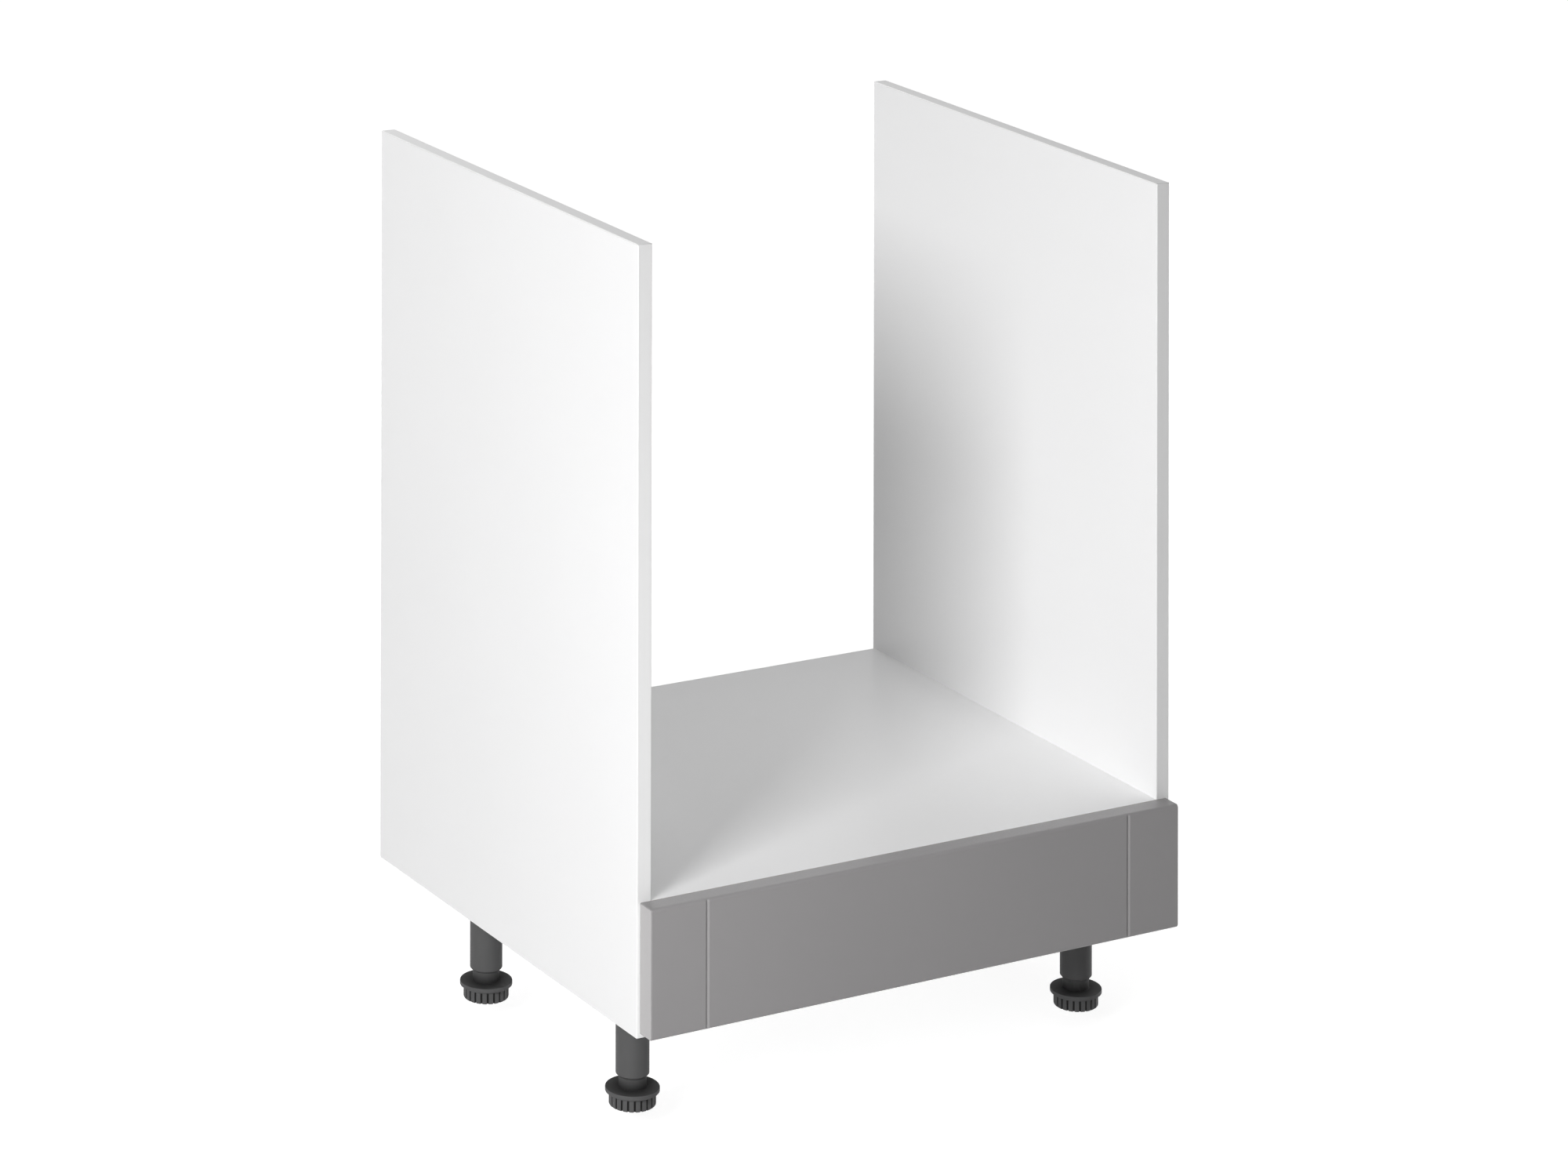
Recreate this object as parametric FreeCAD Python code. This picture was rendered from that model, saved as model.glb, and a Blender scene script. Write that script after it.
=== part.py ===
"""Oven base cabinet: side panels, oven deck, bottom panel, fixed front and four levelling legs.

Millimetres. The origin is on the floor under the middle of the cabinet, +Z is up and the front faces -Y.
"""
import FreeCAD
import Part

import math
import os

Vector = FreeCAD.Vector

# Carcass
cabinet_width = 600.0
carcass_height = 720.0
carcass_depth = 500.0
board_thickness = 15.0
deck_height = 123.0          # from the carcass underside to the top of the oven deck
shelf_rear_inset = 3.0       # deck and bottom panel stop short of the sides' rear edges
edging_thickness = 1.0
edging_radius = 0.8

# Fixed front
front_thickness = 20.0
front_side_reveal = 3.0
front_bottom_reveal = 4.0
front_edge_radius = 3.0      # along the top and bottom of the face
front_end_radius = 1.5       # round the two ends
groove_inset = 60.0          # from the front's end to the middle of its groove
groove_width = 4.0
groove_depth = 0.6

# Legs
leg_height = 100.0
leg_front_inset = 88.0       # from the carcass front to the leg's axis
leg_rear_inset = 131.5       # from the carcass back to the leg's axis
socket_side_gap = 2.5        # from the side panel's inner face to the socket plate
socket_plate_diameter = 60.0
socket_plate_thickness = 4.0
socket_depth = 16.0
socket_wall = 2.5
socket_screw_circle = 50.0
socket_screw_count = 4
tube_diameter = 31.5
tube_wall = 2.7
tube_chamfer_height = 2.5
tube_lip = 0.3               # plain rim left inside the chamfer at the tube's lower end
tube_cap_thickness = 3.0
stem_chamfer = 1.5
stem_head_room = 2.0         # left above the stem when the foot is wound right in
foot_gap = 10.0              # stem that shows between the flange and the tube
flange_diameter = 51.0
flange_thickness = 4.2
flange_chamfer = 0.6
skirt_diameter = 44.0
skirt_height = 12.5
skirt_chamfer = 1.2
skirt_recess_diameter = 32.0
skirt_recess_depth = 8.0
skirt_band = 2.0             # plain band of skirt left above the slots
slot_count = 22
slot_width = 2.0
slot_depth = 1.5

# Cam fittings and dowels
cam_edge_inset = 37.0        # from the front and rear edges of a shelf board
cam_setback = 34.0           # from the end of a shelf board to the middle of the cam
cam_diameter = 15.0
cam_floor = 3.5              # board left above the cam
cam_slot_length = 7.0
cam_slot_width = 1.6
cam_slot_depth = 2.5
bolt_thread_diameter = 5.0
bolt_thread_length = 11.0
bolt_collar_diameter = 7.0
bolt_collar_length = 3.0
bolt_neck_diameter = 4.5
bolt_head_diameter = 6.5
bolt_head_length = 4.0
dowel_diameter = 8.0
dowel_in_side = 11.0
dowel_in_shelf = 24.0
dowel_spacing = 64.0
dowel_chamfer = 0.8

# Brackets and screws
bracket_leg = 30.0
bracket_width = 18.0
bracket_thickness = 2.0
bracket_bend_radius = 1.5
bracket_end_gap = 8.0        # from a shelf board to the bracket's end
bracket_hole_inset = 12.0    # from the end of a bracket's leg to its hole
screw_diameter = 3.5
screw_bite = 12.0            # length of screw in the board
screw_tip_length = 3.0
screw_head_diameter = 6.5
screw_head_height = 2.2
screw_head_chamfer = 0.8
screw_slot_length = 3.6
screw_slot_width = 0.9
screw_slot_depth = 1.2

# Clearances
fit_clearance = 0.05         # radial, for a pin in its hole
pocket_clearance = 0.2       # radial, round the head and collar of a cam bolt
screw_hole_clearance = 0.3   # radial, where a screw passes through plastic or steel
end_clearance = 0.5          # at the blind end of a hole

# Planes that the pieces share
total_depth = carcass_depth + front_thickness
y_front_face = -total_depth / 2
y_carcass_front = y_front_face + front_thickness
y_carcass_back = total_depth / 2
y_shelf_back = y_carcass_back - shelf_rear_inset
x_outer = cabinet_width / 2
x_inner = x_outer - board_thickness
z_carcass = leg_height
z_top = z_carcass + carcass_height
z_deck_top = z_carcass + deck_height
z_deck_under = z_deck_top - board_thickness
z_bottom_top = z_carcass + board_thickness
z_front_bottom = z_carcass + front_bottom_reveal
front_half_width = x_outer - front_side_reveal

shelf_undersides = {"deck": z_deck_under, "bottom": z_carcass}
cam_depths = (y_carcass_front + cam_edge_inset, y_shelf_back - cam_edge_inset)
shelf_middle = (y_carcass_front + y_shelf_back) / 2
dowel_depths = (shelf_middle - dowel_spacing / 2, shelf_middle + dowel_spacing / 2)
sides = {"left": -1, "right": 1}

leg_x = x_inner - socket_side_gap - socket_plate_diameter / 2
leg_rows = {"front": y_carcass_front + leg_front_inset, "rear": y_carcass_back - leg_rear_inset}
leg_places = {
    f"{row}_{side}_leg": Vector(sign * leg_x, y, 0)
    for row, y in leg_rows.items()
    for side, sign in sides.items()
}
tube_radius = tube_diameter / 2
bore_radius = tube_radius - tube_wall
stem_radius = bore_radius - fit_clearance
foot_height = skirt_height + flange_thickness
z_tube_end = foot_height + foot_gap
z_socket_seat = z_carcass - socket_plate_thickness
z_tube_cap = z_socket_seat - tube_cap_thickness
z_stem_top = z_tube_cap - foot_gap - stem_head_room

bracket_levels = {
    "lower": z_bottom_top + bracket_end_gap + bracket_width / 2,
    "upper": z_deck_under - bracket_end_gap - bracket_width / 2,
}
bracket_hole_reach = bracket_leg - bracket_hole_inset
screw_radius = screw_diameter / 2
nodes = {}


def box(low, high):
    """Block between two opposite corners."""
    return Part.makeBox(high.x - low.x, high.y - low.y, high.z - low.z, low)


def rod(start, end, radius):
    """Cylinder from one point to another."""
    run = end - start
    return Part.makeCylinder(radius, run.Length, start, run)


def turned(profile):
    """Solid turned about Z from a closed outline of (radius, height) points."""
    points = [Vector(radius, 0, height) for radius, height in profile]
    outline = Part.makePolygon(points + points[:1])
    return Part.Face(outline).revolve(Vector(0, 0, 0), Vector(0, 0, 1), 360)


def aimed(shape, place, direction):
    """Copy of a shape made along +Z, moved to a place and turned to a direction."""
    copy = shape.copy()
    copy.Placement = FreeCAD.Placement(place, FreeCAD.Rotation(Vector(0, 0, 1), direction))
    return copy


def fillet_where(shape, radius, test):
    """Round the edges whose two ends pass a test."""
    edges = [edge for edge in shape.Edges if all(test(vertex.Point) for vertex in edge.Vertexes)]
    return shape.makeFillet(radius, edges)


def cross_slot(length, width, depth, height):
    """Crossed driver slot, cut downwards from a height."""
    bar = box(Vector(-length / 2, -width / 2, height - depth), Vector(length / 2, width / 2, height))
    turned_bar = bar.copy()
    turned_bar.rotate(Vector(0, 0, 0), Vector(0, 0, 1), 90)
    return bar.fuse(turned_bar)


def shelf_end_points(depths, level):
    """Points on the sides' inner faces at a shelf's mid-thickness, with the way into the shelf."""
    height = level + board_thickness / 2
    return [
        (Vector(sign * x_inner, y, height), Vector(-sign, 0, 0))
        for sign in sides.values()
        for y in depths
    ]


def bracket_corners():
    """Name, corner point and side sign of each bracket, where its legs meet."""
    return [
        (f"front_bracket_{level}_{side}", Vector(sign * x_inner, y_carcass_front, z), sign)
        for level, z in bracket_levels.items()
        for side, sign in sides.items()
    ]


def socket_screw_points():
    """Points under the socket plates where their screws enter."""
    step = 2 * math.pi / socket_screw_count
    radius = socket_screw_circle / 2
    return [
        place + Vector(radius * math.cos((k + 0.5) * step), radius * math.sin((k + 0.5) * step), z_socket_seat)
        for place in leg_places.values()
        for k in range(socket_screw_count)
    ]


def screw_hole(point, direction):
    """Hole that a screw cuts in a board, from the board's face."""
    return rod(point, point + direction * (screw_bite + end_clearance), screw_radius + fit_clearance)


def side_panel(sign):
    """Side board, with holes for cam bolts, dowels and bracket screws in its inner face."""
    x_low, x_high = sorted((sign * x_inner, sign * x_outer))
    low = Vector(x_low, y_carcass_front + edging_thickness, z_carcass)
    high = Vector(x_high, y_carcass_back, z_top - edging_thickness)
    outward = Vector(sign, 0, 0)
    cuts = []
    for level in shelf_undersides.values():
        for point, inward in shelf_end_points(cam_depths, level):
            end = point - inward * (bolt_thread_length + end_clearance)
            cuts.append(rod(point, end, bolt_thread_diameter / 2 + fit_clearance))
        for point, inward in shelf_end_points(dowel_depths, level):
            end = point - inward * (dowel_in_side + end_clearance)
            cuts.append(rod(point, end, dowel_diameter / 2 + fit_clearance))
    for _, corner, bracket_sign in bracket_corners():
        if bracket_sign == sign:
            cuts.append(screw_hole(corner + Vector(0, bracket_hole_reach, 0), outward))
    return box(low, high).cut(cuts)


def front_edging(sign):
    """Strip on the front edge of a side board, with rounded outer edges."""
    x_low, x_high = sorted((sign * x_inner, sign * x_outer))
    strip = box(
        Vector(x_low, y_carcass_front, z_carcass),
        Vector(x_high, y_carcass_front + edging_thickness, z_top),
    )
    return fillet_where(strip, edging_radius, lambda p: abs(p.y - y_carcass_front) < 1e-6)


def top_edging(sign):
    """Strip on the top edge of a side board, behind the front strip, with rounded long edges."""
    x_low, x_high = sorted((sign * x_inner, sign * x_outer))
    strip = box(
        Vector(x_low, y_carcass_front + edging_thickness, z_top - edging_thickness),
        Vector(x_high, y_carcass_back, z_top),
    )
    long_edges = [
        edge for edge in strip.Edges
        if edge.BoundBox.YLength > edging_thickness and edge.CenterOfMass.z > z_top - edging_thickness / 2
    ]
    return strip.makeFillet(edging_radius, long_edges)


def shelf(level):
    """Board between the sides, with cam pockets in its underside and bolt and dowel holes in its ends."""
    low = Vector(-x_inner, y_carcass_front, level)
    high = Vector(x_inner, y_shelf_back, level + board_thickness)
    cuts = []
    for point, inward in shelf_end_points(cam_depths, level):
        middle = point + inward * cam_setback
        cuts.append(rod(point, middle, bolt_collar_diameter / 2 + pocket_clearance))
        pocket_base = Vector(middle.x, middle.y, level)
        pocket_end = pocket_base + Vector(0, 0, board_thickness - cam_floor + end_clearance)
        cuts.append(rod(pocket_base, pocket_end, cam_diameter / 2))
    for point, inward in shelf_end_points(dowel_depths, level):
        end = point + inward * (dowel_in_shelf + end_clearance)
        cuts.append(rod(point, end, dowel_diameter / 2 + fit_clearance))
    return box(low, high).cut(cuts)


def bottom_panel():
    """Lower shelf board, with the holes of the leg socket screws in its underside."""
    lift = Vector(0, 0, socket_plate_thickness)
    holes = [screw_hole(point + lift, Vector(0, 0, 1)) for point in socket_screw_points()]
    return shelf(z_carcass).cut(holes)


def front_panel():
    """Fixed front with rounded front edges, two upright V-grooves and screw holes in its back."""
    board = box(
        Vector(-front_half_width, y_front_face, z_front_bottom),
        Vector(front_half_width, y_carcass_front, z_deck_top),
    )
    long_edges = [
        edge for edge in board.Edges
        if edge.BoundBox.XLength > front_thickness and abs(edge.CenterOfMass.y - y_front_face) < 1e-6
    ]
    board = board.makeFillet(front_edge_radius, long_edges)
    end_edges = [
        edge for edge in board.Edges
        if edge.BoundBox.ZLength > front_thickness and abs(edge.CenterOfMass.y - y_front_face) < 1e-6
        and abs(abs(edge.CenterOfMass.x) - front_half_width) < 1e-6
    ]
    board = board.makeFillet(front_end_radius, end_edges)
    cuts = []
    for sign in sides.values():
        x = sign * (front_half_width - groove_inset)
        mouth = [
            Vector(x - groove_width / 2, y_front_face, z_front_bottom),
            Vector(x + groove_width / 2, y_front_face, z_front_bottom),
            Vector(x, y_front_face + groove_depth, z_front_bottom),
        ]
        section = Part.Face(Part.makePolygon(mouth + mouth[:1]))
        cuts.append(section.extrude(Vector(0, 0, z_deck_top - z_front_bottom)))
    for _, corner, sign in bracket_corners():
        cuts.append(screw_hole(corner - Vector(sign * bracket_hole_reach, 0, 0), Vector(0, -1, 0)))
    return board.cut(cuts)


def cam_locks(level):
    """Cam discs in the underside of a shelf, each with a driver slot and a pocket for its bolt's head."""
    depth = board_thickness - cam_floor
    locks = []
    for point, inward in shelf_end_points(cam_depths, level):
        middle = point + inward * cam_setback
        base = Vector(middle.x, middle.y, level)
        disc = rod(base, base + Vector(0, 0, depth), cam_diameter / 2 - fit_clearance)
        slot = aimed(cross_slot(cam_slot_length, cam_slot_width, cam_slot_depth, 0), base, Vector(0, 0, -1))
        pocket_start = middle - inward * cam_diameter
        pocket_end = middle + inward * (bolt_head_length / 2 + end_clearance)
        pocket = rod(pocket_start, pocket_end, bolt_head_diameter / 2 + pocket_clearance)
        locks.append(disc.cut([slot, pocket]))
    return Part.makeCompound(locks)


def cam_bolts(level):
    """Bolts that screw into the sides and end in a head inside the cam."""
    head_end = cam_setback + bolt_head_length / 2
    head_start = head_end - bolt_head_length
    bolt = turned([
        (0, -bolt_thread_length),
        (bolt_thread_diameter / 2, -bolt_thread_length),
        (bolt_thread_diameter / 2, 0),
        (bolt_collar_diameter / 2, 0),
        (bolt_collar_diameter / 2, bolt_collar_length),
        (bolt_neck_diameter / 2, bolt_collar_length),
        (bolt_neck_diameter / 2, head_start),
        (bolt_head_diameter / 2, head_start),
        (bolt_head_diameter / 2, head_end),
        (0, head_end),
    ])
    return Part.makeCompound([aimed(bolt, *end) for end in shelf_end_points(cam_depths, level)])


def dowels(level):
    """Wooden dowels between a shelf and the sides."""
    radius = dowel_diameter / 2
    dowel = turned([
        (0, -dowel_in_side),
        (radius - dowel_chamfer, -dowel_in_side),
        (radius, -dowel_in_side + dowel_chamfer),
        (radius, dowel_in_shelf - dowel_chamfer),
        (radius - dowel_chamfer, dowel_in_shelf),
        (0, dowel_in_shelf),
    ])
    return Part.makeCompound([aimed(dowel, *end) for end in shelf_end_points(dowel_depths, level)])


def bracket(corner, sign):
    """Angle bracket in the corner between a side and the front, with one screw hole in each leg."""
    half = Vector(0, 0, bracket_width / 2)
    inward = Vector(-sign, 0, 0)
    back = Vector(0, 1, 0)
    outline = [
        corner,
        corner + inward * bracket_leg,
        corner + inward * bracket_leg + back * bracket_thickness,
        corner + inward * bracket_thickness + back * bracket_thickness,
        corner + inward * bracket_thickness + back * bracket_leg,
        corner + back * bracket_leg,
    ]
    lower_outline = [point - half for point in outline]
    angle = Part.Face(Part.makePolygon(lower_outline + lower_outline[:1])).extrude(half * 2)
    bend = outline[3]
    angle = fillet_where(angle, bracket_bend_radius, lambda p: math.hypot(p.x - bend.x, p.y - bend.y) < 1e-6)
    hole_radius = screw_radius + screw_hole_clearance
    side_hole = corner + back * bracket_hole_reach
    front_hole = corner + inward * bracket_hole_reach
    return angle.cut([
        rod(side_hole, side_hole + inward * bracket_thickness, hole_radius),
        rod(front_hole, front_hole + back * bracket_thickness, hole_radius),
    ])


def screw(seat, outward, grip):
    """Pan-head screw whose head sits at a point, through a plate of thickness grip and into a board."""
    length = grip + screw_bite
    head_radius = screw_head_diameter / 2
    body = turned([
        (0, -length),
        (screw_radius, -length + screw_tip_length),
        (screw_radius, 0),
        (head_radius, 0),
        (head_radius, screw_head_height - screw_head_chamfer),
        (head_radius - screw_head_chamfer, screw_head_height),
        (0, screw_head_height),
    ])
    slot = cross_slot(screw_slot_length, screw_slot_width, screw_slot_depth, screw_head_height)
    return aimed(body.cut(slot), seat, outward)


def bracket_screws():
    """Screws from each bracket into its side and into the front."""
    screws = []
    for _, corner, sign in bracket_corners():
        inward = Vector(-sign, 0, 0)
        back = Vector(0, 1, 0)
        side_seat = corner + back * bracket_hole_reach + inward * bracket_thickness
        front_seat = corner + inward * bracket_hole_reach + back * bracket_thickness
        screws.append(screw(side_seat, inward, bracket_thickness))
        screws.append(screw(front_seat, back, bracket_thickness))
    return Part.makeCompound(screws)


def leg_socket():
    """Round plate under the bottom panel with a cup that the leg tube plugs into."""
    cup_inner = tube_radius + fit_clearance
    cup_outer = cup_inner + socket_wall
    plate_radius = socket_plate_diameter / 2
    z_cup_end = z_socket_seat - socket_depth
    return turned([
        (0, z_socket_seat),
        (cup_inner, z_socket_seat),
        (cup_inner, z_cup_end),
        (cup_outer, z_cup_end),
        (cup_outer, z_socket_seat),
        (plate_radius, z_socket_seat),
        (plate_radius, z_carcass),
        (0, z_carcass),
    ])


def leg_tube():
    """Leg tube, closed at the top, with a tapered lower end and a bore for the foot's stem."""
    return turned([
        (bore_radius, z_tube_end),
        (bore_radius + tube_lip, z_tube_end),
        (tube_radius, z_tube_end + tube_chamfer_height),
        (tube_radius, z_socket_seat),
        (0, z_socket_seat),
        (0, z_tube_cap),
        (bore_radius, z_tube_cap),
    ])


def levelling_foot():
    """Foot with a stem, a flange and a slotted skirt that is hollow underneath."""
    recess_radius = skirt_recess_diameter / 2
    skirt_radius = skirt_diameter / 2
    flange_radius = flange_diameter / 2
    body = turned([
        (0, skirt_recess_depth),
        (recess_radius, skirt_recess_depth),
        (recess_radius, 0),
        (skirt_radius - skirt_chamfer, 0),
        (skirt_radius, skirt_chamfer),
        (skirt_radius, skirt_height),
        (flange_radius - flange_chamfer, skirt_height),
        (flange_radius, skirt_height + flange_chamfer),
        (flange_radius, foot_height - flange_chamfer),
        (flange_radius - flange_chamfer, foot_height),
        (stem_radius, foot_height),
        (stem_radius, z_stem_top - stem_chamfer),
        (stem_radius - stem_chamfer, z_stem_top),
        (0, z_stem_top),
    ])
    slot = box(
        Vector(skirt_radius - slot_depth, -slot_width / 2, 0),
        Vector(flange_radius, slot_width / 2, skirt_height - skirt_band),
    )
    slots = []
    for k in range(slot_count):
        copy = slot.copy()
        copy.rotate(Vector(0, 0, 0), Vector(0, 0, 1), k * 360 / slot_count)
        slots.append(copy)
    return body.cut(slots)


for side, sign in sides.items():
    nodes[f"{side}_side_panel"] = side_panel(sign)
    nodes[f"{side}_front_edging"] = front_edging(sign)
    nodes[f"{side}_top_edging"] = top_edging(sign)

nodes["oven_deck"] = shelf(z_deck_under)
nodes["bottom_panel"] = bottom_panel()
nodes["front_panel"] = front_panel()

for shelf_name, level in shelf_undersides.items():
    nodes[f"{shelf_name}_cam_locks"] = cam_locks(level)
    nodes[f"{shelf_name}_cam_bolts"] = cam_bolts(level)
    nodes[f"{shelf_name}_dowels"] = dowels(level)

for bracket_name, corner, sign in bracket_corners():
    nodes[bracket_name] = bracket(corner, sign)
nodes["front_bracket_screws"] = bracket_screws()

socket_holes = [
    rod(point, point + Vector(0, 0, socket_plate_thickness), screw_radius + screw_hole_clearance)
    for point in socket_screw_points()
]
for leg_name, place in leg_places.items():
    nodes[f"{leg_name}_socket"] = leg_socket().translated(place).cut(socket_holes)
    nodes[f"{leg_name}_tube"] = leg_tube().translated(place)
    nodes[f"{leg_name}_foot"] = levelling_foot().translated(place)
nodes["leg_socket_screws"] = Part.makeCompound([
    screw(point, Vector(0, 0, -1), socket_plate_thickness) for point in socket_screw_points()
])

os.makedirs("parts", exist_ok=True)
for node_name, shape in nodes.items():
    shape.exportStep(f"parts/{node_name}.step")
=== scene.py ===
"""Oven base cabinet: boards, edging strips, grey front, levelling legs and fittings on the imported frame.

Metres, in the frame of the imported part: the origin is on the floor, +Z is up and the front faces -Y.
"""
import math

import bmesh
import bpy
from bpy.props import FloatProperty, FloatVectorProperty, IntProperty, PointerProperty
from bpy.types import Operator, Panel, PropertyGroup
from mathutils import Matrix, Vector


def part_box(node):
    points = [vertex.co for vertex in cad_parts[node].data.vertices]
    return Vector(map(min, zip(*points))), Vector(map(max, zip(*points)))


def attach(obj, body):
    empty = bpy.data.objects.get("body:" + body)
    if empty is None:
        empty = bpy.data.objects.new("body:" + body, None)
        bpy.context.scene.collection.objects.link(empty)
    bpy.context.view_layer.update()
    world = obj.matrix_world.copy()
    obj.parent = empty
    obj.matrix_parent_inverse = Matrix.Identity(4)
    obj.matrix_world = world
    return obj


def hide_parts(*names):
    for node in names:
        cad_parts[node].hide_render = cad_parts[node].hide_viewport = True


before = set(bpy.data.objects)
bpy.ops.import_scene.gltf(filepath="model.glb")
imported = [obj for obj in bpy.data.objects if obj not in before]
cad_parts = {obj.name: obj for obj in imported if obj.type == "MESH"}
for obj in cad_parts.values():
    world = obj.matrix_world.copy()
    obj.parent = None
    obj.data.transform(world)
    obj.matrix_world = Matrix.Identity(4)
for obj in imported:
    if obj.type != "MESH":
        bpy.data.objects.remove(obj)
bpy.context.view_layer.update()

bl_info = {
    "name": "Oven base cabinet",
    "version": (1, 0, 0),
    "blender": (4, 5, 0),
    "location": "View3D > Sidebar > Cabinet",
    "description": "Models and finishes the pieces of an oven base cabinet around its packed frame",
    "category": "Object",
}

SIDES = ("left", "right")
LEGS = ("front_left", "front_right", "rear_left", "rear_right")
TURN = 2 * math.pi
NEAR = 1e-5                 # points closer than this count as one
GRAIN_DEPTH = 0.0001        # full height of the relief that a finish gives
TUBE_POINTS = 96            # points round a socket or tube
SCREW_POINTS = 32           # points round a screw or its hole
THREAD_STEPS = 8            # rings to a turn of thread
BEND_STEPS = 8              # faces round a bracket's bends and corners
FRONT_STEPS = 10            # faces round the front's edges
STRIP_STEPS = 5             # faces round a strip's edges
RIB_STEPS = 5               # faces along a rib between two slots of a skirt
SLOT_FLOOR = 0.88           # width of a slot's floor, as a share of its mouth
FLANGE_RIM = 0.02           # outer share of a flange's top that gets no painted shade
GUSSET_SLOPE = 0.8          # how far a gusset rises to its outer end, as a share of its height
CROSS_TAPER = (0.5, 0.7, 1) # size of the foot of a screw's cross, as a share of its mouth
CUTTER_RISE = 0.001         # how far the cutter of a cross stands above the screw's head
DRILL_LENGTH = 0.02         # length of the cutter of a hole
LAMP_TARGET = (0, 0, 0.45)  # what the lamps face
LAMPS = {                   # size and place of each square lamp
    "main_lamp": (1.5, (-3.945, -2.37, 2.404)),
    "front_lamp": (0.5, (-0.6, -0.9, 0.4)),
    "back_lamp": (1.5, (0, 1.8, 2.2)),
    "right_lamp": (0.8, (2.4, 0, 0.45)),
}


def length(name, description, default):
    """A size in metres."""
    return FloatProperty(name=name, description=description, default=default, unit="LENGTH", precision=5)


def power(name, description, default):
    """The power of a lamp in watts."""
    return FloatProperty(name=name, description=description, default=default, subtype="POWER", min=0)


def shade(name, description, default):
    """A colour in linear light."""
    return FloatVectorProperty(
        name=name, description=description, default=default, subtype="COLOR", min=0, max=1)


class BoardSettings(PropertyGroup):
    """Sizes of the boards, their strips and the front."""
    edge_ease: length("Edge ease", "Tiny rounding on the edges of the white boards", 0.0003)
    strip_round: length("Strip rounding", "Radius on the outer edges of the edging strips", 0.0008)
    front_round: length("Front rounding", "Radius along the top and bottom of the front's face", 0.003)
    front_end_round: length("Front end rounding", "Radius round the two ends of the front", 0.0015)
    groove_inset: length("Groove inset", "From the end of the front to the middle of its groove", 0.060)
    groove_width: length("Groove width", "Width of a V-groove at the face", 0.004)
    groove_depth: length("Groove depth", "Depth of a V-groove", 0.0012)
    groove_ease: length("Groove ease", "Tiny rounding on the edges of the grooves", 0.00015)


class LegSettings(PropertyGroup):
    """Sizes of the levelling legs."""
    plate_thickness: length("Plate thickness", "Thickness of the socket's plate", 0.004)
    cup_wall: length("Cup wall", "Wall of the socket's cup", 0.0025)
    cup_lip: length("Cup lip", "Radius inside the mouth of the cup", 0.0003)
    cup_round: length("Cup rounding", "Radius outside the mouth of the cup", 0.0006)
    cup_root: length("Cup root", "Fillet between cup and plate", 0.0012)
    plate_round: length("Plate rounding", "Radius on the lower edge of the plate", 0.0008)
    gusset_thickness: length("Gusset thickness", "Thickness of the gussets between plate and cup", 0.002)
    gusset_sunk: length("Gusset sunk", "How far a gusset is sunk into plate and cup", 0.0004)
    gusset_lift: length("Gusset lift", "From the mouth of the cup to the end of a gusset", 0.003)
    gusset_margin: length("Gusset margin", "From a gusset to the edge of the plate", 0.002)
    tube_cap: length("Tube cap", "Thickness of the closed end of the tube", 0.003)
    tube_taper_height: length("Taper height", "Height of the tapered lower end of the tube", 0.0025)
    tube_taper_inset: length("Taper inset", "How far the lower end of the tube draws in", 0.0024)
    tube_lip: length("Tube lip", "Radius round the lower end of the tube", 0.0004)
    tube_shoulder: length("Tube shoulder", "Radius above the taper of the tube", 0.0008)
    stem_radius: length("Stem radius", "Radius of the foot's stem", 0.013)
    stem_root: length("Stem root", "Fillet between the stem and the flange", 0.0006)
    stem_point: length("Stem point", "Chamfer at the upper end of the stem", 0.0015)
    stem_play: length("Stem play", "Gap between the stem and the bore of the tube", 0.00005)
    flange_thickness: length("Flange thickness", "Thickness of the foot's flange", 0.0042)
    flange_round: length("Flange rounding", "Radius on the upper edge of the flange", 0.0009)
    flange_under: length("Flange underside", "Radius on the lower edge of the flange", 0.0006)
    skirt_radius: length("Skirt radius", "Radius of the slotted skirt", 0.022)
    skirt_height: length("Skirt height", "Height of the slotted skirt", 0.0125)
    skirt_band: length("Skirt band", "Plain band of skirt above the slots", 0.002)
    skirt_root: length("Skirt root", "Fillet between the skirt and the flange", 0.0003)
    skirt_round: length("Skirt rounding", "Radius on the lower edge of the skirt", 0.0016)
    recess_round: length("Recess rounding", "Radius on the edge of the hollow under the foot", 0.0004)
    recess_radius: length("Recess radius", "Radius of the hollow under the foot", 0.016)
    recess_depth: length("Recess depth", "Depth of the hollow under the foot", 0.008)
    slot_count: IntProperty(name="Slots", description="Slots round the skirt", default=22, min=3)
    slot_width: length("Slot width", "Width of a slot in the skirt", 0.002)
    slot_depth: length("Slot depth", "Depth of a slot in the skirt", 0.0015)
    slot_end: length("Slot end", "Height of the sloping upper end of a slot", 0.0002)
    thread_pitch: length("Thread pitch", "Rise of the stem's thread in one turn", 0.004)
    thread_depth: length("Thread depth", "Depth of the stem's thread", 0.0009)
    thread_start: length("Thread start", "Height at which the thread begins, above the foot's base", 0.030)
    thread_margin: length("Thread margin", "From the thread to the upper end of the stem", 0.002)


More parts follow.
